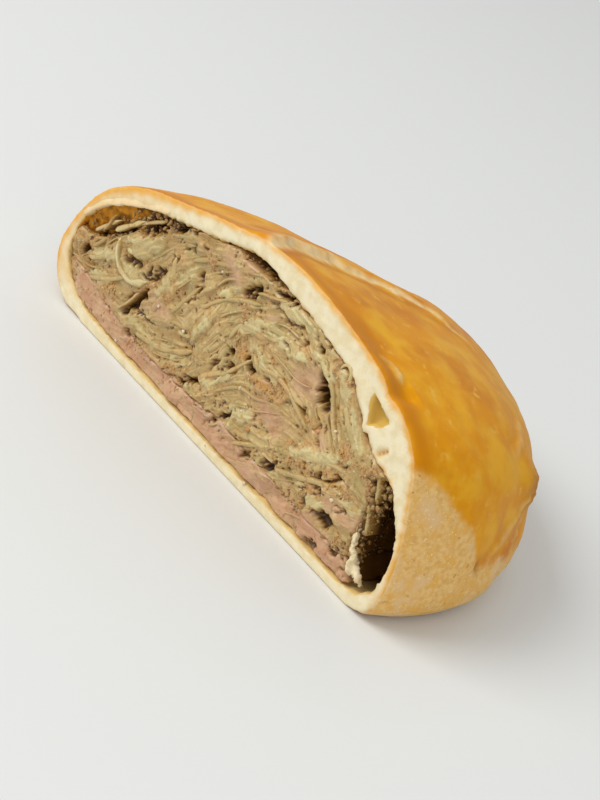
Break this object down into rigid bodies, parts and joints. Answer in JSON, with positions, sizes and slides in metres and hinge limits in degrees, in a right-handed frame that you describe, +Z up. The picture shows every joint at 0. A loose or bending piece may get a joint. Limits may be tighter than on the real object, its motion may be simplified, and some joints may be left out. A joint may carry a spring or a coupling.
{
  "type": "cornish pasty half",
  "caption": "Half of a round baked pasty, cut open: golden dough case around a folded cabbage and minced meat filling, resting on its flat base.",
  "frame": {"origin": "on the surface that the base rests on, under the middle of the piece's bounding box", "axes": "+X along the cut face towards its tall end with the air pocket, +Y from the cut face to the rounded back, +Z up from the base to the crest"},
  "size_m": [0.12, 0.0626, 0.0451],
  "materials": {
    "baked_dough": "egg-washed golden crust, satin; pale matt dough where it is cut or unglazed",
    "cabbage_and_mince": "moist folded cabbage leaves with minced meat between, softly glossy",
    "cooked_meat": "moist pinkish-brown cooked meat, satin"
  },
  "bodies": {
    "root": {"pastry_case": "baked_dough", "cabbage_filling": "cabbage_and_mince", "meat_layer": "cooked_meat"}
  },
  "joints": []
}
